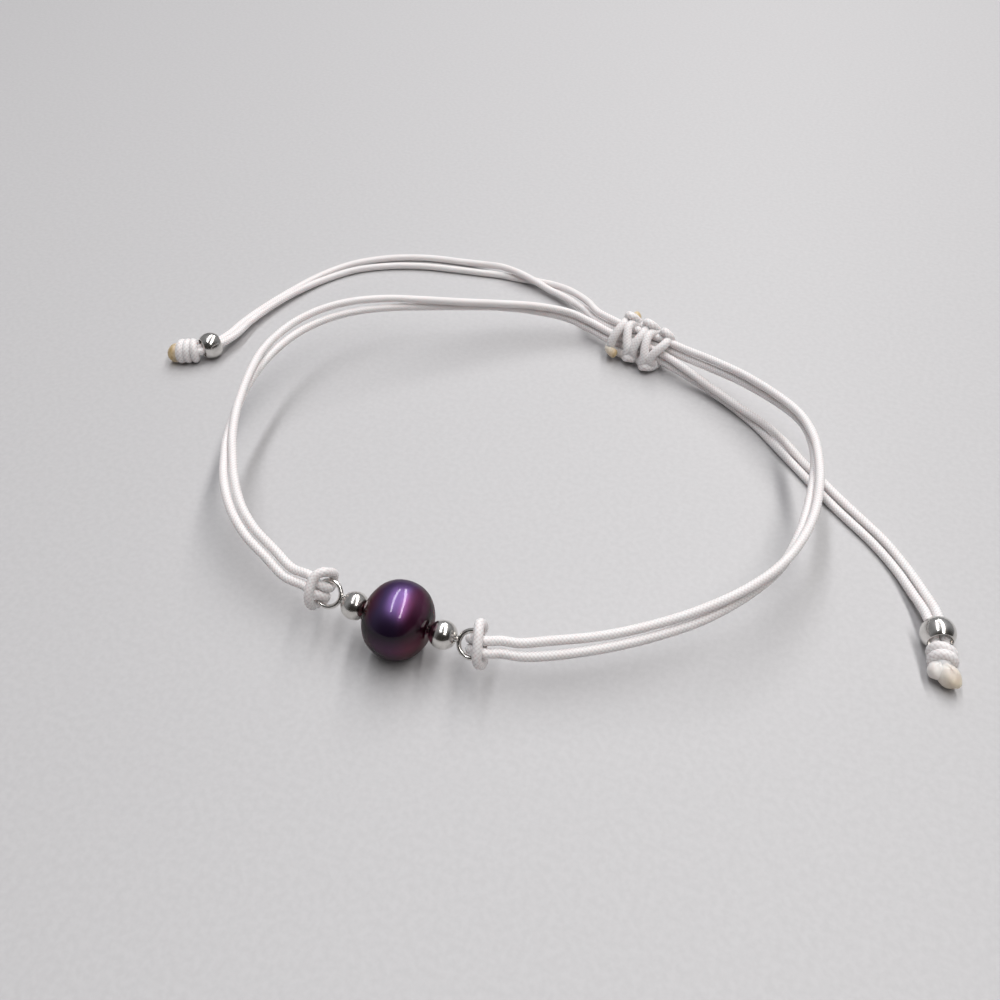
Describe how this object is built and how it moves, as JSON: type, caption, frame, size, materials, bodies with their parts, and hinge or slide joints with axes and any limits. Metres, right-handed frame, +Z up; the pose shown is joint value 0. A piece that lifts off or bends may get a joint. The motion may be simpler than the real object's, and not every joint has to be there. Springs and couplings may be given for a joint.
{
  "type": "adjustable braided cord bracelet with one drilled pearl between two silver beads, a sliding knot and beaded tails",
  "caption": "Adjustable white cord bracelet: dark purple pearl between small silver beads on a wire pin with eyes, sliding knot, tails ending in a silver bead and a stopper knot",
  "frame": {"origin": "middle of the bottom of the box round the loop, the pearl, its beads and the sliding knot, without the two free tails", "axes": "+X along the pearl's drill hole towards the right tail, +Y from the pearl towards the sliding knot, +Z up from the surface that the bracelet lies on"},
  "size_m": [0.107, 0.0772, 0.0093],
  "materials": {
    "pearl": "lustrous dark purple nacre",
    "silver": "polished silver",
    "cord": "white braided cord, melted ends beige"
  },
  "bodies": {
    "root": {"pearl": "pearl", "bead_left": "silver", "bead_right": "silver", "eye_pin": "silver", "cord_left": "cord", "cord_right": "cord", "sliding_knot": "cord", "tail_left_strand_1": "cord", "tail_left_strand_2": "cord", "tail_right_strand_1": "cord", "tail_right_strand_2": "cord", "tail_bead_left": "silver", "tail_bead_right": "silver", "end_knot_left": "cord", "end_knot_right": "cord"}
  },
  "joints": []
}
